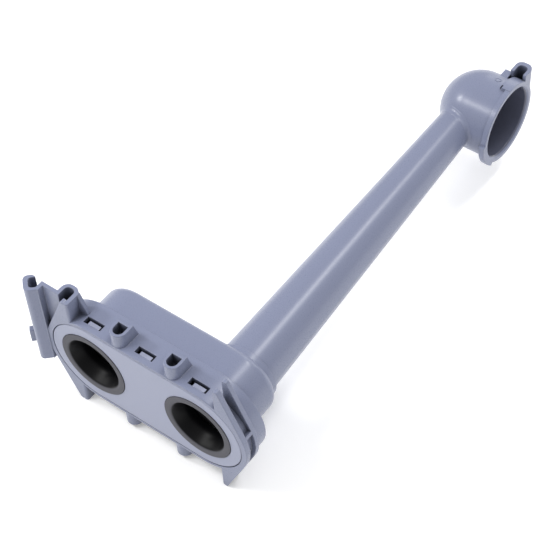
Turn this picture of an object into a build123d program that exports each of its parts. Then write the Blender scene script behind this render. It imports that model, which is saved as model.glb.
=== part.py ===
"""Two-level inlet duct that carries the upper wash arm of a dishwasher.

Millimetres. The origin is the middle of the docking face, between the two inlets. X runs from the
upper inlet to the lower one, Y runs back along the feed tube, and Z is up as the duct lies on a table.
"""

import os
from math import hypot

from build123d import *

# Docking plate and its inlets
inlet_distance = 50.0
plate_radius = 20.0
plate_thickness = 2.4
plate_gap = 0.25
hook_width = 6.8
hook_thickness = 1.5
hook_play = 0.2
hook_barb = 2.3
hook_crest = 1.2
plate_edge = 0.3
window_pitch = 24.6
window_width = 8.2
window_start = 2.6
window_depth = 3.0

# Rim, housing behind it and the wall thicknesses
rim_wall = 1.15
rim_depth = 13.1
seat_ledge = 1.25
wall = 1.8
housing_radius = 15.0
housing_back = 29.5
housing_corner = 3.8

# Flanges around the round ends, with ears that stand up and down
flange_radius = 22.6
flange_thickness = 2.2
rear_flange_thickness = 1.8
ear_inside = 34.5
ear_height = 30.2
ear_round = 1.1
slot_width = 3.3
slot_floor = 20.6
slot_web_angle = 20.0
slot_web = 1.5

# Hollow bosses on the rim, above and below
boss_pitch = 25.0
boss_shift = 1.3
boss_radius = 3.4
boss_front = 0.1
boss_back = 7.4
boss_wall = 1.15
boss_height = 6.9
boss_hole_depth = 6.0
fin_length = 2.4
fin_top = 0.4
fin_thickness = 1.2

# Basket clips at the upper inlet's end
channel_x = -36.75
channel_width = 4.4
channel_back = 7.45
channel_round = 1.8
clip_wall = 1.6
clip_back_wall = 1.4
clip_corner = 3.2
clip_front_corner = 1.0
gusset_x = -29.2
gusset_z = 21.4
gusset_start = 5.9
gusset_thickness = 1.6
grip_x = -51.6
grip_y = 0.5
grip_length = 7.6
grip_width = 5.0
grip_round = 2.1
grip_slot = 4.9
grip_slot_round = 1.4
grip_floor = 1.9
grip_angle = -45.0
grip_bottom = -12.0
clip_web = 1.6
web_x = -47.5
web_start_y = -0.4
nub_width = 2.4
nub_length = 6.5
nub_reach = 2.0
nub_shift = -1.0
nub_bottom = -4.5

# Feed tube
tube_radius = 12.9
tube_shift = 0.4
tube_taper = 0.026
tube_wall = 1.8
tube_ring = 1.1
tube_ring_depth = 1.6

# Elbow and the socket that takes the wash arm's hub
elbow_y = 196.6
elbow_radius = 17.2
elbow_wall = 1.6
dome_offset = 4.15
mouth_offset = 17.85
# Corners of the bend's inside, as shares of its radius along the socket and across it
core_bevels = ((0.6, 0.8), (0.92, 0.39))
lead_in = 1.0
lead_in_depth = 1.2
collar_radius = 18.4
collar_depth = 2.4
lug_reach = 1.4
lug_start = 177.0
lug_sweep = 56.0
pad_reach = 0.3
pad_depth = 5.0
pad_start = 40.0
pad_sweep = 52.0
slit_length = 3.2
slit_width = 0.6
slit_angle = 92.0
slit_setback = 4.3
slit_depth = 1.2

# Wire pocket beside the socket: an upright channel on the elbow, flush with the mouth
pocket_width = 4.4
pocket_leg = 1.45
pocket_back_y = 17.1
pocket_back_wall = 2.0
pocket_front_y = 12.0
pocket_top_z = 17.3
pocket_foot_z = 6.0
pocket_corner = 3.0
pocket_inner_corner = 1.8
block_length = 3.4
block_y = 13.8
block_top_z = 14.5

# Inlet seals
seal_radius = 15.2
seal_mouth = 11.5
seal_throat = 9.6
seal_throat_start = 4.9
seal_flange = 1.3
seal_proud = 0.3
seal_neck = 12.6
seal_bead = 13.7
seal_length = 8.2
seal_lip = 1.1
seal_gap = 0.15

# Check flaps behind the seals
flap_radius = 12.0
flap_thickness = 1.8
flap_gap = 0.3
hinge_x = 9.6
pivot_radius = 1.2
pivot_play = 0.05
pivot_reach = 1.8
barrel_radius = 1.9
barrel_half = 6.0
bearing_radius = 2.4
bearing_thickness = 2.0
bearing_gap = 0.3

# Sizes worked out from the ones above
half_distance = inlet_distance / 2
beyond = 3 * ear_height
outward = {-1: Align.MAX, 1: Align.MIN}
pocket_radius = plate_radius + plate_gap
rim_radius = pocket_radius + rim_wall
cavity_radius = pocket_radius - seat_ledge
cavity_back = rim_depth - wall
housing_inside = housing_radius - wall
second_flange = flange_thickness + slot_width
hook_face = cavity_radius - hook_play
elbow_inside = elbow_radius - elbow_wall
hinge_y = seal_length + flap_gap + flap_thickness / 2
tube_start = housing_back - wall
tube_x = half_distance + tube_shift
elbow_x = tube_x - tube_taper * elbow_y
mouth_x = elbow_x + mouth_offset
boss_middle = boss_front + boss_radius
boss_top = rim_radius + boss_height
boss_places = (boss_shift - boss_pitch / 2, boss_shift + boss_pitch / 2)
window_places = (-window_pitch, 0, window_pitch)


def face_at(depth):
    """Upright plane parallel to the docking face, a depth behind it. Extruding by -t goes t further back."""
    return Plane.XZ.offset(-depth)


def pill(radius, mode=Mode.ADD):
    """Outline with round ends about the two inlets."""
    return SlotCenterToCenter(inlet_distance, 2 * radius, mode=mode)


def ear_outline(side):
    """Round end with an ear above and below it, kept outward of the ears' straight inner edge."""
    with Locations((side * half_distance, 0)):
        Circle(flange_radius)
    ear_x = side * (ear_inside + ear_round)
    with Locations((ear_x, ear_height - ear_round), (ear_x, ear_round - ear_height)):
        Circle(ear_round)
    make_hull()
    with Locations((side * ear_inside, 0)):
        Rectangle(beyond, beyond, align=(outward[side], Align.CENTER), mode=Mode.INTERSECT)


def tube_at(depth):
    """Plane square to the tube's leaning axis, where the axis is a depth behind the docking face."""
    along = Vector(-tube_taper, 1, 0)
    return Plane(origin=(tube_x - tube_taper * depth, depth, 0), x_dir=(1, tube_taper, 0), z_dir=along)


def tube_outside(depth):
    """Radius of the tube's outer face a depth behind the docking face."""
    return tube_radius - tube_taper * depth


def sector(radius, start, sweep):
    """Slice of a disc about the socket's axis, on the mouth's plane."""
    with BuildSketch(mouth_plane) as disc:
        with BuildLine():
            arc = CenterArc((0, 0), radius, start, sweep)
            Line(arc @ 0, (0, 0))
            Line(arc @ 1, (0, 0))
        make_face()
    return disc.sketch


def bend_profile():
    """Half outline of the bend's outside, a dome that runs on as a cylinder to the mouth."""
    with BuildSketch(Plane((elbow_x, elbow_y, 0))) as half:
        with BuildLine():
            CenterArc((dome_offset, 0), elbow_radius, 90, 90)
            Polyline(
                (dome_offset, elbow_radius),
                (mouth_offset, elbow_radius),
                (mouth_offset, 0),
                (dome_offset - elbow_radius, 0),
            )
        make_face()
    return half.sketch


def core_profile():
    """Half outline of the room inside the bend: its end has two bevels, and its mouth a lead-in."""
    bevels = [(dome_offset - along * elbow_inside, across * elbow_inside) for along, across in core_bevels]
    with BuildSketch(Plane((elbow_x, elbow_y, 0))) as half:
        with BuildLine():
            Polyline(
                (bevels[-1][0], 0),
                *reversed(bevels),
                (dome_offset, elbow_inside),
                (mouth_offset - lead_in_depth, elbow_inside),
                (mouth_offset, elbow_inside + lead_in),
                (mouth_offset, 0),
                close=True,
            )
        make_face()
    return half.sketch


mouth_plane = Plane(origin=(mouth_x, elbow_y, 0), x_dir=(0, 1, 0), z_dir=(1, 0, 0))
elbow_axis = Axis((elbow_x, elbow_y, 0), (1, 0, 0))

# Elbow: a domed bend, and the room inside it with a lead-in at the mouth
with BuildPart() as elbow:
    revolve(bend_profile(), axis=elbow_axis)
    with BuildSketch(mouth_plane):
        Circle(collar_radius)
    extrude(amount=-collar_depth)
    extrude(sector(collar_radius + lug_reach, lug_start, lug_sweep), amount=-collar_depth)

with BuildPart() as elbow_room:
    revolve(core_profile(), axis=elbow_axis)

# Housing behind the rim, with its rounded back edge
with BuildPart() as housing:
    with BuildSketch(face_at(rim_depth - wall)):
        pill(housing_radius)
    extrude(amount=-(housing_back - rim_depth + wall))
    fillet(housing.faces().sort_by(Axis.Y)[-1].edges(), housing_corner)

with BuildPart() as housing_room:
    with BuildSketch(face_at(cavity_back)):
        pill(housing_inside)
    extrude(amount=-(housing_back - wall - cavity_back))
    chamfer(housing_room.faces().sort_by(Axis.Y)[-1].edges(), housing_corner - wall)

with BuildPart() as duct_body:
    add(housing.part)
    # Rim with a flange and two ears around each round end
    with BuildSketch(face_at(0)):
        pill(rim_radius)
    extrude(amount=-rim_depth)
    for side in (-1, 1):
        with BuildSketch(face_at(0)):
            ear_outline(side)
        extrude(amount=-flange_thickness)
    with BuildSketch(face_at(second_flange)):
        ear_outline(1)
    extrude(amount=-rear_flange_thickness)
    # Slot between the two flanges, with a small web across it
    with BuildSketch(face_at(flange_thickness)):
        with Locations((ear_inside, 0)):
            Rectangle(beyond, beyond, align=(Align.MIN, Align.CENTER))
        with Locations((half_distance, 0)):
            Circle(slot_floor, mode=Mode.SUBTRACT)
    extrude(amount=-slot_width, mode=Mode.SUBTRACT)
    with BuildSketch(face_at(flange_thickness)):
        with Locations((half_distance, 0)):
            with PolarLocations(slot_floor, 1, start_angle=slot_web_angle):
                Rectangle(2 * (flange_radius - slot_floor), slot_web)
    extrude(amount=-slot_width)

    # Hollow bosses with a sloping fin behind, above and below the rim
    for up in (-1, 1):
        foot = up * (rim_radius - rim_wall)
        with BuildSketch(Plane.XY.offset(foot)):
            with Locations(*[(x, boss_middle) for x in boss_places]):
                Circle(boss_radius)
                Rectangle(2 * boss_radius, boss_back - boss_middle, align=(Align.CENTER, Align.MIN))
        extrude(amount=up * boss_top - foot)
        for x in boss_places:
            with BuildSketch(Plane.YZ.offset(x + boss_radius - fin_thickness)):
                with BuildLine():
                    Polyline(
                        (boss_middle, foot),
                        (boss_back + fin_length, foot),
                        (boss_back + fin_length, up * rim_radius),
                        (boss_back + fin_top, up * boss_top),
                        (boss_middle, up * boss_top),
                        close=True,
                    )
                make_face()
            extrude(amount=fin_thickness)
        with BuildSketch(Plane.XY.offset(up * boss_top)):
            hole_radius = boss_radius - boss_wall
            with Locations(*[(x, boss_middle) for x in boss_places]):
                Circle(hole_radius)
                Rectangle(2 * hole_radius, boss_back - boss_wall - boss_middle, align=(Align.CENTER, Align.MIN))
        extrude(amount=-up * boss_hole_depth, mode=Mode.SUBTRACT)

    # Wire channel beside the upper inlet, closed in front by the flange, with a gusset on its side
    with BuildSketch(Plane.XY.offset(-ear_height)):
        outer_width = channel_width + 2 * clip_wall
        with Locations((channel_x, 0)):
            Rectangle(outer_width, channel_back + clip_back_wall, align=(Align.CENTER, Align.MIN))
        fillet(vertices().group_by(Axis.Y)[-1], clip_corner)
        fillet(vertices().group_by(Axis.Y)[0].sort_by(Axis.X)[-1], clip_front_corner)
        with BuildSketch(mode=Mode.SUBTRACT):
            with Locations((channel_x, 0)):
                Rectangle(channel_width, channel_back, align=(Align.CENTER, Align.MIN))
            fillet(vertices().group_by(Axis.Y)[-1], channel_round)
        with Locations((channel_x + channel_width / 2, 0)):
            Rectangle(outer_width, flange_thickness, align=(Align.MAX, Align.MIN), mode=Mode.SUBTRACT)
    extrude(amount=2 * ear_height)
    for up in (-1, 1):
        with BuildSketch(face_at(gusset_start)):
            with BuildLine():
                Polyline(
                    (channel_x + outer_width / 2 - clip_wall / 2, up * ear_height),
                    (channel_x + outer_width / 2, up * ear_height),
                    (gusset_x, up * gusset_z),
                    (gusset_x, up * cavity_radius),
                    (channel_x + outer_width / 2 - clip_wall / 2, up * cavity_radius),
                    close=True,
                )
            make_face()
        extrude(amount=-gusset_thickness)

    # Grip for a wire at its far side: a channel with a round back, the stepped web that carries it and a nub
    grip_place = Location((grip_x, grip_y, 0), (0, 0, grip_angle))
    web_y = flange_thickness + clip_web / 2
    with BuildSketch(Plane.XY.offset(grip_bottom)):
        with Locations(grip_place):
            RectangleRounded(grip_length, grip_width, grip_round)
            with Locations((grip_length / 2, grip_width / 2)):
                Rectangle(grip_round, grip_round, align=(Align.MAX, Align.MAX))
            with Locations((0, grip_floor)):
                RectangleRounded(grip_slot, grip_width, grip_slot_round, mode=Mode.SUBTRACT)
        with BuildLine():
            Polyline(
                (web_x, web_start_y),
                (web_x, web_y),
                (channel_x - outer_width / 2 + clip_wall / 2, web_y),
            )
        trace(line_width=clip_web)
    extrude(amount=ear_height - grip_bottom)
    with BuildSketch(Plane.XY.offset(nub_bottom)):
        with Locations(grip_place):
            with Locations((nub_shift, -grip_width / 2)):
                Rectangle(nub_width, 2 * nub_reach)
    extrude(amount=nub_length)

    # Feed tube with the ring at its root
    tube_length = (elbow_y - tube_start) * hypot(1, tube_taper)
    with Locations(tube_at(tube_start)):
        Cone(
            tube_outside(tube_start),
            tube_outside(elbow_y),
            tube_length,
            align=(Align.CENTER, Align.CENTER, Align.MIN),
        )
        Cylinder(
            tube_outside(housing_back) + tube_ring,
            wall + tube_ring_depth,
            align=(Align.CENTER, Align.CENTER, Align.MIN),
        )

    # Wire pocket, open above and towards the head, with a block behind its inner leg
    pocket_x = mouth_x - pocket_leg - pocket_width / 2
    with BuildSketch(Plane.XY.offset(pocket_foot_z)):
        with Locations((pocket_x, elbow_y + pocket_front_y)):
            Rectangle(
                pocket_width + 2 * pocket_leg,
                pocket_back_y + pocket_back_wall - pocket_front_y,
                align=(Align.CENTER, Align.MIN),
            )
        fillet(vertices().group_by(Axis.Y)[-1], pocket_corner)
    extrude(amount=pocket_top_z - pocket_foot_z)
    with Locations((mouth_x - 2 * pocket_leg - pocket_width, elbow_y + block_y, pocket_foot_z)):
        Box(
            block_length,
            block_y - pocket_foot_z,
            block_top_z - pocket_foot_z,
            align=(Align.MAX, Align.MAX, Align.MIN),
        )
    with BuildSketch(Plane.XY.offset(pocket_foot_z)):
        with Locations((pocket_x, elbow_y + pocket_foot_z)):
            Rectangle(pocket_width, pocket_back_y - pocket_foot_z, align=(Align.CENTER, Align.MIN))
        fillet(vertices().group_by(Axis.Y)[-1], pocket_inner_corner)
    extrude(amount=pocket_top_z - pocket_foot_z, mode=Mode.SUBTRACT)

    # Elbow with a flat pad on its collar
    add(elbow.part)
    extrude(sector(collar_radius + pad_reach, pad_start, pad_sweep), amount=-pad_depth)

    # Everything hollow: plate pocket, seal cavity, housing, tube and elbow
    with BuildSketch(face_at(0)):
        pill(pocket_radius)
    extrude(amount=-plate_thickness, mode=Mode.SUBTRACT)
    with BuildSketch(face_at(plate_thickness)):
        pill(cavity_radius)
    extrude(amount=-(cavity_back - plate_thickness), mode=Mode.SUBTRACT)
    add(housing_room.part, mode=Mode.SUBTRACT)
    with Locations(tube_at(tube_start - wall)):
        Cone(
            tube_outside(tube_start) - tube_wall,
            tube_outside(elbow_y) - tube_wall,
            tube_length,
            align=(Align.CENTER, Align.CENTER, Align.MIN),
            mode=Mode.SUBTRACT,
        )
    add(elbow_room.part, mode=Mode.SUBTRACT)
    with BuildSketch(mouth_plane.offset(-slit_setback)):
        with PolarLocations(collar_radius + pad_reach, 1, start_angle=slit_angle):
            Rectangle(2 * slit_depth, slit_length)
    extrude(amount=-slit_width, mode=Mode.SUBTRACT)
    # Windows that the plate's hooks snap into
    with BuildSketch(face_at(window_start)):
        with Locations(*[(x, 0) for x in window_places]):
            Rectangle(window_width, beyond)
    extrude(amount=-window_depth, mode=Mode.SUBTRACT)

with BuildPart() as docking_plate:
    with BuildSketch(face_at(0)):
        pill(plate_radius)
    extrude(amount=-plate_thickness)
    chamfer(docking_plate.faces().sort_by(Axis.Y)[0].edges(), plate_edge)
    # Stepped seat of each seal
    with Locations(face_at(0)):
        with Locations((-half_distance, 0), (half_distance, 0)):
            seat = seal_flange - seal_proud
            CounterBoreHole(seal_neck + seal_gap, seal_radius + seal_gap, seat, 2 * plate_thickness)
    # Snap hooks: a flat arm with a ramped barb that stands into the rim's window
    barb_start = window_start + hook_play
    barb_back = window_start + window_depth - hook_play
    for up in (-1, 1):
        for x in window_places:
            with BuildSketch(Plane.YZ.offset(x - hook_width / 2)):
                with BuildLine():
                    Polyline(
                        (plate_thickness / 2, up * hook_face),
                        (barb_start, up * hook_face),
                        (barb_start, up * (hook_face + hook_barb)),
                        (barb_start + hook_crest, up * (hook_face + hook_barb)),
                        (barb_back, up * hook_face),
                        (barb_back, up * (hook_face - hook_thickness)),
                        (plate_thickness / 2, up * (hook_face - hook_thickness)),
                        close=True,
                    )
                make_face()
            extrude(amount=hook_width)
    # Bearings of the two check flaps, on posts behind the plate
    bearing_z = barrel_half + bearing_gap
    for side in (-1, 1):
        for up in (-1, 1):
            start = up * bearing_z
            with BuildSketch(Plane.XY.offset(start)):
                with Locations((side * hinge_x, hinge_y)):
                    Circle(bearing_radius)
                with Locations((side * hinge_x, plate_thickness / 2)):
                    Rectangle(2 * bearing_radius, hinge_y - plate_thickness / 2, align=(Align.CENTER, Align.MIN))
                with Locations((side * hinge_x, hinge_y)):
                    Circle(pivot_radius + pivot_play, mode=Mode.SUBTRACT)
            extrude(amount=up * bearing_thickness)


def make_seal(side):
    """Rubber seal of one inlet: a flange, a neck, a barb behind the plate and a narrowing throat."""
    x = side * half_distance
    bead_start = plate_thickness + seal_gap
    with BuildPart() as seal:
        with BuildSketch(Plane.XY):
            with BuildLine():
                Polyline(
                    (x + seal_mouth, -seal_proud),
                    (x + seal_radius, -seal_proud),
                    (x + seal_radius, seal_flange - seal_proud),
                    (x + seal_neck, seal_flange - seal_proud),
                    (x + seal_neck, bead_start),
                    (x + seal_bead, bead_start),
                    (x + seal_throat + seal_lip, seal_length),
                    (x + seal_throat, seal_length),
                    (x + seal_throat, seal_throat_start),
                    close=True,
                )
            make_face()
        revolve(axis=Axis((x, 0, 0), (0, 1, 0)))
    return seal


def make_flap(side):
    """Check flap: a round disc on an arm, with a barrel and two pivots that run in the plate's bearings."""
    x = side * half_distance
    disc_front = seal_length + flap_gap
    with BuildPart() as flap:
        with BuildSketch(face_at(disc_front)):
            with Locations((x, 0)):
                Circle(flap_radius)
            with Locations(((x + side * hinge_x) / 2, 0)):
                Rectangle(abs(x - side * hinge_x), 2 * barrel_half)
        extrude(amount=-flap_thickness)
        with Locations((side * hinge_x, hinge_y, 0)):
            Cylinder(barrel_radius, 2 * barrel_half)
            Cylinder(pivot_radius, 2 * (barrel_half + pivot_reach))
    return flap


pieces = {
    "duct_body": duct_body,
    "docking_plate": docking_plate,
    "upper_inlet_seal": make_seal(-1),
    "lower_inlet_seal": make_seal(1),
    "upper_check_flap": make_flap(-1),
    "lower_check_flap": make_flap(1),
}

os.makedirs("parts", exist_ok=True)
for name, piece in pieces.items():
    piece.part.label = name
    export_step(piece.part, f"parts/{name}.step")
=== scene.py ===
"""Looks, light and camera for the dishwasher wash arm holder.

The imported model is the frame, in metres: X runs from the upper inlet to the lower one, Y back along the
feed tube, Z up. The body and the flaps keep their shape and get their materials here. The seals come back
with their moulded lips, the docking plate with its hooks pressed home, and the elbow gets the fillet at the
tube's end and the witness ring of an ejector pin.
"""

import math

import bpy
import numpy as np
from mathutils import Matrix, Vector


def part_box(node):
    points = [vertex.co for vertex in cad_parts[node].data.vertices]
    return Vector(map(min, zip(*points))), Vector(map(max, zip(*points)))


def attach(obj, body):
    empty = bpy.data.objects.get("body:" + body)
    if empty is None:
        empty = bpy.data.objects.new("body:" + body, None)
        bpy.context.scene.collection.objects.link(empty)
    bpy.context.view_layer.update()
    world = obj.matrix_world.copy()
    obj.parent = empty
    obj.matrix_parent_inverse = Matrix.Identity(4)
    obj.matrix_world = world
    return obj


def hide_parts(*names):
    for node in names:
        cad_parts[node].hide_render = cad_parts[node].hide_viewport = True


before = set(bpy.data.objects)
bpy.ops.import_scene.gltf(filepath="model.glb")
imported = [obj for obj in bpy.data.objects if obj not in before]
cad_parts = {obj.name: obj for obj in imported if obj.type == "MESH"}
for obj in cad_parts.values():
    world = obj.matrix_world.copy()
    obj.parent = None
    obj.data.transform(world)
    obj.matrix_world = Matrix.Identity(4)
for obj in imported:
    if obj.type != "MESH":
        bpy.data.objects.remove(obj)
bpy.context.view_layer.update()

MM = 0.001

# Camera, fitted to the photograph: angles in degrees, lengths in millimetres
IMAGE_PIXELS = 550
SENSOR_WIDTH = 36.0
FOCAL_PIXELS = 1600.0
AZIMUTH = 39.315
ELEVATION = 50.638
ROLL = -3.89
DISTANCE = 594.977
OFFSET_PIXELS = (-130.357, 120.46)

# Nearest and farthest that the camera sees, in metres
NEAR_LIMIT = 0.01
FAR_LIMIT = 10.0

# White card under the object: its height in millimetres, half its side in metres, and its own glow
FLOOR_Z = -30.2
FLOOR_HALF = 3.0
FLOOR_GLOW = 0.2

# Studio light: strength of the surroundings, then each soft box's place and what it looks at in metres, its
# width, length and watts, and the line that its long side follows
SURROUND_STRENGTH = 0.45
HEAD_AND_TUBE = (0.0, 0.09, 0.0)
TUBE_MIDDLE = (0.022, 0.12, 0.0)
ELBOW = (0.025, 0.186, 0.013)
SOFT_BOXES = {
    "front_box": ((-0.1, -1.0, 0.45), HEAD_AND_TUBE, 0.9, 0.6, 0.6, (0, 0, 1)),
    "elbow_spot": ((-0.636, -0.111, 0.464), ELBOW, 0.1, 0.1, 2.0, (0, 0, 1)),
    "elbow_band": ((-0.34, -0.265, 0.634), ELBOW, 0.12, 0.3, 2.0, (0.81, -0.36, 0.46)),
    "left_box": ((-1.1, 0.1, 0.4), HEAD_AND_TUBE, 0.8, 0.6, 0.3, (0, 0, 1)),
    "right_box": ((1.1, 0.1, 0.4), HEAD_AND_TUBE, 0.8, 0.6, 0.4, (0, 0, 1)),
    "back_box": ((0.0, 1.3, 0.4), HEAD_AND_TUBE, 0.8, 0.6, 3.4, (0, 0, 1)),
    "top_box": ((0.45, 0.1, 1.1), HEAD_AND_TUBE, 1.0, 1.0, 2.6, (0, 1, 0)),
    "tube_strip": ((0.177, 0.601, 0.842), TUBE_MIDDLE, 0.16, 0.42, 2.9, (-0.36, 0.79, -0.49)),
}

# Plastics: colours of the skin, its flow marks, the painted shade in its recesses and the painted shade in
# the bore, then the skin's roughness and the strength of its grain
PLASTICS = {
    "moulded_polypropylene_grey": ("#7f859d", "#7d839b", "#383b45", "#5b5e6f", 0.3, 0.08),
    "moulded_polypropylene_light_grey": ("#969bb1", "#9499af", "#33353e", None, 0.36, 0.1),
    "moulded_polypropylene_black": ("#17181b", "#121316", "#0c0d0f", None, 0.4, 0.1),
}
PLASTIC_IOR = 1.49

# Flow marks are 28 mm across. The sparked grain is about 0.1 mm across and too fine for a render, so it is
# drawn at 0.35 mm. Its depth is in millimetres, and its low and high ends are shares of the noise
FLOW_SIZE = 28.0
FLOW_MARKS = {"Detail": 3.0, "Roughness": 0.45, "Distortion": 0.6}
GRAIN_SIZE = 0.35
GRAIN = {"Detail": 2.0, "Roughness": 0.6}
GRAIN_DEPTH = 0.03
GRAIN_LOW = 0.3
GRAIN_HIGH = 0.7
GLOSS_SPREAD = 0.05

# Painted shade in recesses: how far a recess is looked for, in millimetres, and the open shares at which the
# painted shade is darkest and at which the skin is plain
PAINTED_SHADE_REACH = 20.0
PAINTED_SHADE_DARKEST = 0.05
PAINTED_SHADE_PLAIN = 0.6
EDGE_RADIUS = 0.5

# Radius, in millimetres, within which the elbow's wall is the polished bore darkened with painted shade, and
# the bore's roughness
BORE_EDGE = 15.9
BORE_FADE = 0.3
BORE_ROUGHNESS = 0.22

# Rubber: depths, in millimetres, between which the sparked face turns into the polished throat with its
# painted shade, and finish. Its grain is drawn coarser than the real 0.1 mm as well
POLISH_AND_SHADE_START = -0.22
POLISH_AND_SHADE_END = 0.35
RUBBER_FACE = "#5a5a60"
# The throat's colour is the rubber's own black darkened further with painted shade
RUBBER_THROAT_BLACK_AND_SHADE = "#09090c"
RUBBER_FACE_ROUGHNESS = 0.62
RUBBER_THROAT_ROUGHNESS = 0.4
RUBBER_IOR = 1.5
RUBBER_SPECULAR = 0.16
RUBBER_GRAIN_SIZE = 0.3
RUBBER_BUMP = 0.2
LIP_RADIUS = 0.2

# Seal outline in millimetres: radius, and depth behind the seal's front face. The cuts say how far from each
# corner its rounding starts
SEAL_CORNERS = (
    (12.3, 0.0),
    (15.2, 0.0),
    (15.2, 1.3),
    (12.6, 1.3),
    (12.6, 2.85),
    (13.7, 2.85),
    (10.7, 8.5),
    (9.6, 8.5),
    (9.6, 5.6),
    (11.3, 1.9),
)
SEAL_CUTS = (0.9, 0.3, 0.15, 0.15, 0.15, 0.3, 0.3, 0.3, 1.2, 1.0)
SEAL_CORNER_STEPS = 7
SEAL_STEPS = 128

# Docking plate's hooks, in millimetres: where they are in the model, and where their crests go. Edges turned
# by more than the sharp angle, in degrees, stay sharp
MERGE_DISTANCE = 0.001
HOOK_PITCH = 24.6
HOOK_FOOT_Z = 17.0
HOOK_START_Y = 2.45
HOOK_CREST_FROM = 20.9
HOOK_CREST_SPLIT = 3.4
HOOK_CREST_Z = 21.3
HOOK_CREST_FRONT = 2.62
HOOK_CREST_BACK = 4.3
HOOK_SETBACK = 1.5
SHARP_ANGLE = 30.0

# Tube and elbow as the model has them, in millimetres, and the fillet between them
TUBE_X = 25.4
TUBE_TAPER = 0.026
TUBE_RADIUS = 12.9
DOME_X = 24.44
ELBOW_Y = 196.6
ELBOW_RADIUS = 17.2
BLEND_STEPS = 120
BLEND_CURVE_STEPS = 9
BLEND_ROUNDS = 6
BLEND_ON_TUBE = 1.6
BLEND_ON_ELBOW = 1.6
BLEND_LIFT = 0.05
BLEND_ROOT = 0.8

# Witness ring of an ejector pin on the elbow, in millimetres and degrees
PIN_X = 29.3
PIN_ANGLE = 75.4
PIN_RADIUS = 1.25
PIN_BEAD = 0.22
PIN_STEPS = 48
PIN_BEAD_STEPS = 12


def to_linear(hex_colour):
    """Linear RGBA of an sRGB hex value: each channel goes through the sRGB curve."""
    channels = [int(hex_colour[i : i + 2], 16) / 255 for i in (1, 3, 5)]
    linear = [c / 12.92 if c <= 0.04045 else ((c + 0.055) / 1.055) ** 2.4 for c in channels]
    return (*linear, 1.0)


def make_camera():
    """Camera at the fitted angles; its place sums its axes times the fitted distance and offsets."""
    azimuth, elevation, roll = (math.radians(v) for v in (AZIMUTH, ELEVATION, ROLL))
    back = Vector(
        (
            math.sin(azimuth) * math.cos(elevation),
            -math.cos(azimuth) * math.cos(elevation),
            math.sin(elevation),
        )
    )
    level = Vector((math.cos(azimuth), math.sin(azimuth), 0.0))
    upright = back.cross(level)
    right = math.cos(roll) * level + math.sin(roll) * upright
    up = math.cos(roll) * upright - math.sin(roll) * level
    side, rise = (v * DISTANCE / FOCAL_PIXELS for v in OFFSET_PIXELS)
    data = bpy.data.cameras.new("camera")
    data.sensor_width = SENSOR_WIDTH
    data.lens = FOCAL_PIXELS / IMAGE_PIXELS * SENSOR_WIDTH
    data.clip_start = NEAR_LIMIT
    data.clip_end = FAR_LIMIT
    camera = bpy.data.objects.new("camera", data)
    camera.location = (back * DISTANCE - right * side + up * rise) * MM
    turn = Matrix((right, up, back)).transposed()
    camera.rotation_euler = turn.to_euler()
    bpy.context.scene.collection.objects.link(camera)
    bpy.context.scene.camera = camera


def add_node(tree, kind, settings=None, links=None):
    """Adds a node; settings are its attributes or input values, links are what feeds its inputs."""
    node = tree.nodes.new(kind)
    for name, value in (settings or {}).items():
        if isinstance(name, str) and hasattr(node, name):
            setattr(node, name, value)
        else:
            node.inputs[name].default_value = value
    for name, source in (links or {}).items():
        tree.links.new(source, node.inputs[name])
    return node


def new_material(name):
    """Empty node material with its output."""
    material = bpy.data.materials.new(name)
    material.use_nodes = True
    tree = material.node_tree
    tree.nodes.clear()
    return material, tree, tree.nodes.new("ShaderNodeOutputMaterial")


def inside_elbow(tree, place):
    """One on the elbow's inner wall, zero outside, by the distance from the bore's middle half line."""
    centre = (DOME_X * MM, ELBOW_Y * MM, 0.0)
    shifted = add_node(tree, "ShaderNodeVectorMath", {"operation": "SUBTRACT", 1: centre}, {0: place})
    behind = add_node(
        tree,
        "ShaderNodeVectorMath",
        {"operation": "MINIMUM", 1: (0.0, 1.0, 1.0)},
        {0: shifted.outputs[0]},
    )
    distance = add_node(tree, "ShaderNodeVectorMath", {"operation": "LENGTH"}, {0: behind.outputs[0]})
    return add_node(
        tree,
        "ShaderNodeMapRange",
        {"From Min": BORE_EDGE * MM, "From Max": (BORE_EDGE + BORE_FADE) * MM, "To Min": 1.0, "To Max": 0.0},
        {"Value": distance.outputs["Value"]},
    ).outputs[0]


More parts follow.
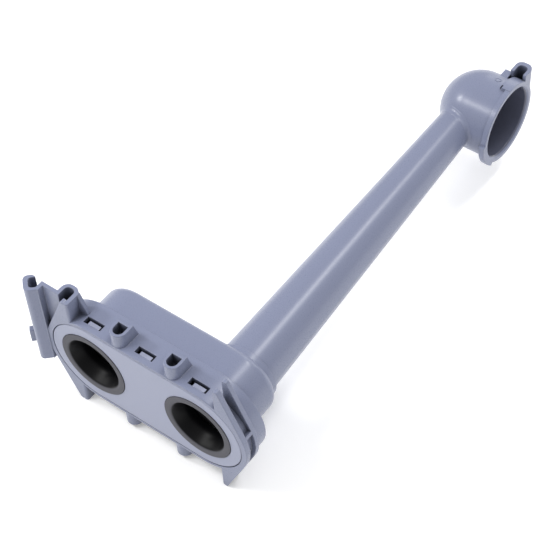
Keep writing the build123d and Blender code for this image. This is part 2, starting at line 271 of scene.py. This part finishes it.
def moulded_plastic(name):
    """Injection-moulded thermoplastic.

    The eye sees a satin skin: a fine sparked grain copied from the mould, broad flow marks that change the
    colour a little, edges rounded by a few tenths of a millimetre, painted shade that darkens the skin in
    recesses, and, where it has one, a polished bore where the core pin has been, darkened with painted
    shade.
    """
    colour, flow_colour, painted_shade_colour, bore_painted_shade, roughness, bump = PLASTICS[name]
    material, tree, output = new_material(name)
    place = add_node(tree, "ShaderNodeTexCoord").outputs["Object"]
    flow = add_node(
        tree,
        "ShaderNodeTexNoise",
        {"Scale": 1 / (FLOW_SIZE * MM), **FLOW_MARKS},
        {"Vector": place},
    ).outputs[0]
    grain = add_node(
        tree,
        "ShaderNodeTexNoise",
        {"Scale": 1 / (GRAIN_SIZE * MM), **GRAIN},
        {"Vector": place},
    ).outputs[0]
    tint = add_node(
        tree,
        "ShaderNodeMix",
        {"data_type": "RGBA", 6: to_linear(flow_colour), 7: to_linear(colour)},
        {0: flow},
    ).outputs[2]
    # Painted shade: ambient occlusion darkens the skin toward the painted shade colour in hollows and
    # between parts
    painted_shade_occlusion = add_node(tree, "ShaderNodeAmbientOcclusion", {"samples": 8, "Distance": PAINTED_SHADE_REACH * MM})
    painted_shade_share = add_node(
        tree,
        "ShaderNodeMapRange",
        {"From Min": PAINTED_SHADE_DARKEST, "From Max": PAINTED_SHADE_PLAIN, "To Min": 1.0, "To Max": 0.0},
        {"Value": painted_shade_occlusion.outputs["AO"]},
    ).outputs[0]
    tint = add_node(
        tree,
        "ShaderNodeMix",
        {"data_type": "RGBA", 7: to_linear(painted_shade_colour)},
        {0: painted_shade_share, 6: tint},
    ).outputs[2]
    gloss = add_node(
        tree,
        "ShaderNodeMapRange",
        {
            "From Min": GRAIN_LOW,
            "From Max": GRAIN_HIGH,
            "To Min": roughness - GLOSS_SPREAD,
            "To Max": roughness + GLOSS_SPREAD,
        },
        {"Value": grain},
    ).outputs[0]
    # Painted shade: the elbow's inner wall is tinted darker; its lower roughness is the polished finish
    if bore_painted_shade:
        bore = inside_elbow(tree, place)
        tint = add_node(
            tree,
            "ShaderNodeMix",
            {"data_type": "RGBA", 7: to_linear(bore_painted_shade)},
            {0: bore, 6: tint},
        ).outputs[2]
        gloss = add_node(
            tree,
            "ShaderNodeMix",
            {"data_type": "FLOAT", 3: BORE_ROUGHNESS},
            {0: bore, 2: gloss},
        ).outputs[0]
    soft_edge = add_node(tree, "ShaderNodeBevel", {"samples": 16, "Radius": EDGE_RADIUS * MM}).outputs[0]
    skin = add_node(
        tree,
        "ShaderNodeBump",
        {"Strength": bump, "Distance": GRAIN_DEPTH * MM},
        {"Height": grain, "Normal": soft_edge},
    ).outputs[0]
    shader = add_node(
        tree,
        "ShaderNodeBsdfPrincipled",
        {"IOR": PLASTIC_IOR},
        {"Base Color": tint, "Roughness": gloss, "Normal": skin},
    )
    tree.links.new(shader.outputs[0], output.inputs["Surface"])
    return material


def moulded_rubber(name):
    """Peroxide-cured EPDM.

    The flat sealing face comes from a sparked mould and looks grey and matt; behind its rounded edge the
    throat comes from a polished core pin, with broad soft reflections, and is the rubber's own black
    darkened further with painted shade.
    """
    material, tree, output = new_material(name)
    place = add_node(tree, "ShaderNodeTexCoord").outputs["Object"]
    depth = add_node(tree, "ShaderNodeSeparateXYZ", links={0: place}).outputs["Y"]
    polish_and_shade = add_node(
        tree,
        "ShaderNodeMapRange",
        {"interpolation_type": "SMOOTHSTEP", "From Min": POLISH_AND_SHADE_START * MM, "From Max": POLISH_AND_SHADE_END * MM},
        {"Value": depth},
    ).outputs[0]
    grain = add_node(
        tree,
        "ShaderNodeTexNoise",
        {"Scale": 1 / (RUBBER_GRAIN_SIZE * MM), **GRAIN},
        {"Vector": place},
    ).outputs[0]
    # Painted shade: the throat is tinted near-black, darker than the rubber's own black
    tint = add_node(
        tree,
        "ShaderNodeMix",
        {"data_type": "RGBA", 6: to_linear(RUBBER_FACE), 7: to_linear(RUBBER_THROAT_BLACK_AND_SHADE)},
        {0: polish_and_shade},
    ).outputs[2]
    gloss = add_node(
        tree,
        "ShaderNodeMapRange",
        {"To Min": RUBBER_FACE_ROUGHNESS, "To Max": RUBBER_THROAT_ROUGHNESS},
        {"Value": polish_and_shade},
    ).outputs[0]
    soft_edge = add_node(tree, "ShaderNodeBevel", {"samples": 6, "Radius": LIP_RADIUS * MM}).outputs[0]
    skin = add_node(
        tree,
        "ShaderNodeBump",
        {"Strength": RUBBER_BUMP, "Distance": GRAIN_DEPTH * MM},
        {"Height": grain, "Normal": soft_edge},
    ).outputs[0]
    shader = add_node(
        tree,
        "ShaderNodeBsdfPrincipled",
        {"IOR": RUBBER_IOR, "Specular IOR Level": RUBBER_SPECULAR},
        {"Base Color": tint, "Roughness": gloss, "Normal": skin},
    )
    tree.links.new(shader.outputs[0], output.inputs["Surface"])
    return material


def add_piece(name, places, corners, finish):
    """Smooth mesh from an array of places in millimetres and an array of faces; it rides on the housing."""
    mesh = bpy.data.meshes.new(name)
    mesh.vertices.add(len(places))
    mesh.vertices.foreach_set("co", (places * MM).ravel())
    mesh.loops.add(corners.size)
    mesh.loops.foreach_set("vertex_index", corners.ravel())
    mesh.polygons.add(len(corners))
    mesh.polygons.foreach_set("loop_start", np.arange(0, corners.size, corners.shape[1]))
    mesh.polygons.foreach_set("use_smooth", np.ones(len(corners), dtype=bool))
    mesh.update(calc_edges=True)
    mesh.validate()
    mesh.materials.append(finish)
    piece = bpy.data.objects.new(name, mesh)
    bpy.context.scene.collection.objects.link(piece)
    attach(piece, "housing")
    return piece


def closed_surface(name, points, finish):
    """Grid of points in millimetres, closed both ways: each row joins the next, and the last the first.

    The faces are turned round where the volume that they enclose comes out negative, so they point outwards.
    """
    rows, columns = points.shape[:2]
    index = np.arange(rows * columns).reshape(rows, columns)
    beside = np.roll(index, -1, axis=1)
    corners = np.stack([index, beside, np.roll(beside, -1, axis=0), np.roll(index, -1, axis=0)], axis=-1)
    corners = corners.reshape(-1, 4)
    places = points.reshape(-1, 3)
    first, second, third, fourth = (places[corners[:, k]] for k in range(4))
    volume = np.einsum("ij,ij->", first, np.cross(second, third) + np.cross(third, fourth))
    if volume < 0:
        corners = corners[:, ::-1]
    return add_piece(name, places, corners, finish)


def worn_in_plate(finish):
    """Copy of the docking plate, its doubles merged, with its snap hooks as they sit when pressed home.

    All hook vertices move at once: one side stands off the window's edge, and the crest reaches the
    window's front edge nearly flush with the rim, with a steeper ramp down behind it.
    """
    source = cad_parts["docking_plate"].data
    places = np.empty(len(source.vertices) * 3)
    source.vertices.foreach_get("co", places)
    corners = np.empty(len(source.loops), dtype=int)
    source.loops.foreach_get("vertex_index", corners)
    steps = np.round(places.reshape(-1, 3) / (MERGE_DISTANCE * MM))
    merged, new_index = np.unique(steps, axis=0, return_inverse=True)
    corners = new_index.ravel()[corners].reshape(-1, 3)
    whole = (corners != np.roll(corners, -1, axis=1)).all(axis=1)
    x, y, z = (merged * MERGE_DISTANCE).T
    hook = (np.abs(z) > HOOK_FOOT_Z) & (y > HOOK_START_Y)
    crest = hook & (np.abs(z) > HOOK_CREST_FROM)
    from_middle = x - HOOK_PITCH * np.round(x / HOOK_PITCH)
    x = np.where(hook & (from_middle < 0), x + HOOK_SETBACK, x)
    z = np.where(crest, np.sign(z) * HOOK_CREST_Z, z)
    y = np.where(crest, np.where(y < HOOK_CREST_SPLIT, HOOK_CREST_FRONT, HOOK_CREST_BACK), y)
    places = np.stack([x, y, z], axis=-1)
    piece = add_piece("docking_plate_pressed_home", places, corners[whole], finish)
    piece.data.set_sharp_from_angle(angle=math.radians(SHARP_ANGLE))
    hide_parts("docking_plate")


def rounded_outline(corners, cuts):
    """Closed outline with each corner replaced by a parabola that starts and ends one cut away from it."""
    corners = np.array(corners, dtype=float)
    cuts = np.array(cuts, dtype=float)[:, None]
    to_last = np.roll(corners, 1, axis=0) - corners
    to_next = np.roll(corners, -1, axis=0) - corners
    starts = corners + cuts * to_last / np.linalg.norm(to_last, axis=1, keepdims=True)
    ends = corners + cuts * to_next / np.linalg.norm(to_next, axis=1, keepdims=True)
    t = np.linspace(0, 1, SEAL_CORNER_STEPS)[None, :, None]
    curve = (1 - t) ** 2 * starts[:, None] + 2 * t * (1 - t) * corners[:, None] + t**2 * ends[:, None]
    return curve.reshape(-1, 2)


def inlet_seal(node, finish):
    """Seal as a body of revolution: radius and depth follow a rounded outline, the angle goes once round."""
    low, high = (np.array(corner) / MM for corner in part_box(node))
    middle = (low + high) / 2
    outline = rounded_outline(SEAL_CORNERS, SEAL_CUTS)
    radius = outline[:, 0]
    depth = outline[:, 1] + low[1]
    angle = np.linspace(0, 2 * np.pi, SEAL_STEPS, endpoint=False)
    points = np.empty((len(radius), len(angle), 3))
    points[..., 0] = middle[0] + radius[:, None] * np.cos(angle)
    points[..., 1] = depth[:, None]
    points[..., 2] = middle[2] + radius[:, None] * np.sin(angle)
    piece = closed_surface(node + "_moulded", points, finish)
    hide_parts(node)


def elbow_blend(finish):
    """Fillet where the feed tube enters the elbow.

    Round the tube's axis, the point where its wall meets the elbow's dome or cylinder is the corner of a
    parabola that starts on the tube and ends on the elbow; points inside the walls close each section. The
    meeting point is found in a few rounds: each moves it along the tube onto the elbow.
    """
    angle = np.linspace(0, 2 * np.pi, BLEND_STEPS, endpoint=False)
    lean = np.array([-TUBE_TAPER, 1.0, 0.0]) / math.hypot(1, TUBE_TAPER)
    across = np.array([1.0, TUBE_TAPER, 0.0]) / math.hypot(1, TUBE_TAPER)
    outward = np.cos(angle)[:, None] * across + np.sin(angle)[:, None] * np.array([0.0, 0.0, 1.0])

    def on_elbow(x, z):
        """Front of the elbow: a sphere up to its middle, and from there on a cylinder along the socket."""
        beyond = np.minimum(x - DOME_X, 0.0)
        return ELBOW_Y - np.sqrt(ELBOW_RADIUS**2 - z**2 - beyond**2)

    depth = np.full(len(angle), ELBOW_Y - ELBOW_RADIUS)
    for _ in range(BLEND_ROUNDS):
        axis = np.stack([TUBE_X - TUBE_TAPER * depth, depth, 0 * depth], axis=-1)
        radius = (TUBE_RADIUS - TUBE_TAPER * depth)[:, None]
        place = axis + radius * outward
        depth = depth + on_elbow(place[:, 0], place[:, 2]) - place[:, 1]
    corner = axis + radius * outward
    start = corner - BLEND_ON_TUBE * lean + BLEND_LIFT * outward
    spread = axis + (radius + BLEND_ON_ELBOW) * outward
    end = np.stack([spread[:, 0], on_elbow(spread[:, 0], spread[:, 2]), spread[:, 2]], axis=-1)
    inside = corner - BLEND_ROOT * outward + BLEND_ROOT * lean
    t = np.linspace(0, 1, BLEND_CURVE_STEPS)[None, :, None]
    curve = (1 - t) ** 2 * start[:, None] + 2 * t * (1 - t) * corner[:, None] + t**2 * end[:, None]
    root = start - (BLEND_LIFT + BLEND_ROOT) * outward
    tip = end + BLEND_ROOT * lean
    points = np.concatenate([curve, tip[:, None], inside[:, None], root[:, None]], axis=1)
    closed_surface("elbow_blend", points, finish)


def pin_ring(finish):
    """Witness ring of an ejector pin: a bead's circle goes round a larger one bent onto the elbow."""
    round_ring = np.linspace(0, 2 * np.pi, PIN_STEPS, endpoint=False)[:, None]
    round_bead = np.linspace(0, 2 * np.pi, PIN_BEAD_STEPS, endpoint=False)[None, :]
    reach = PIN_RADIUS + PIN_BEAD * np.cos(round_bead)
    height = ELBOW_RADIUS + PIN_BEAD * np.sin(round_bead) * np.ones_like(round_ring)
    turn = math.radians(PIN_ANGLE) + reach * np.sin(round_ring) / ELBOW_RADIUS
    x = PIN_X + reach * np.cos(round_ring)
    points = np.stack([x, ELBOW_Y + height * np.cos(turn), height * np.sin(turn)], axis=-1)
    closed_surface("pin_ring", points, finish)


def studio_floor():
    """Seamless white card under the object."""
    material, tree, output = new_material("white_card")
    shader = add_node(
        tree,
        "ShaderNodeBsdfPrincipled",
        {
            "Base Color": to_linear("#fafafa"),
            "Roughness": 0.9,
            "IOR": 1.3,
            "Emission Color": to_linear("#ffffff"),
            "Emission Strength": FLOOR_GLOW,
        },
    )
    tree.links.new(shader.outputs[0], output.inputs["Surface"])
    mesh = bpy.data.meshes.new("floor")
    turns = ((-1, -1), (1, -1), (1, 1), (-1, 1))
    mesh.from_pydata([(x * FLOOR_HALF, y * FLOOR_HALF, FLOOR_Z * MM) for x, y in turns], [], [(0, 1, 2, 3)])
    mesh.materials.append(material)
    floor = bpy.data.objects.new("floor", mesh)
    bpy.context.scene.collection.objects.link(floor)


def soft_light(name, place, target, width, length, watts, along):
    """Rectangular soft box that looks at a point; its long side runs as near to the given line as it can."""
    data = bpy.data.lights.new(name, "AREA")
    data.shape = "RECTANGLE"
    data.size = width
    data.size_y = length
    data.energy = watts
    lamp = bpy.data.objects.new(name, data)
    lamp.location = place
    away = (Vector(place) - Vector(target)).normalized()
    long_side = (Vector(along) - Vector(along).dot(away) * away).normalized()
    lamp.rotation_euler = Matrix((long_side.cross(away), long_side, away)).transposed().to_euler()
    bpy.context.scene.collection.objects.link(lamp)


def studio():
    """Pale surroundings and the soft boxes."""
    world = bpy.data.worlds.new("studio")
    bpy.context.scene.world = world
    world.use_nodes = True
    background = world.node_tree.nodes["Background"]
    background.inputs[0].default_value = to_linear("#ffffff")
    background.inputs[1].default_value = SURROUND_STRENGTH
    for name, (place, target, width, length, watts, along) in SOFT_BOXES.items():
        soft_light(name, place, target, width, length, watts, along)


bpy.context.scene.view_settings.view_transform = "Standard"
make_camera()
studio()
studio_floor()

polypropylene = moulded_plastic("moulded_polypropylene_grey")
plate_plastic = moulded_plastic("moulded_polypropylene_light_grey")
flap_plastic = moulded_plastic("moulded_polypropylene_black")
rubber = moulded_rubber("cured_epdm_rubber")

finishes = {
    "duct_body": polypropylene,
    "upper_check_flap": flap_plastic,
    "lower_check_flap": flap_plastic,
}
for name, finish in finishes.items():
    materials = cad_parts[name].data.materials
    materials.clear()
    materials.append(finish)

for node in ("upper_inlet_seal", "lower_inlet_seal"):
    inlet_seal(node, rubber)
elbow_blend(polypropylene)
pin_ring(polypropylene)
worn_in_plate(plate_plastic)
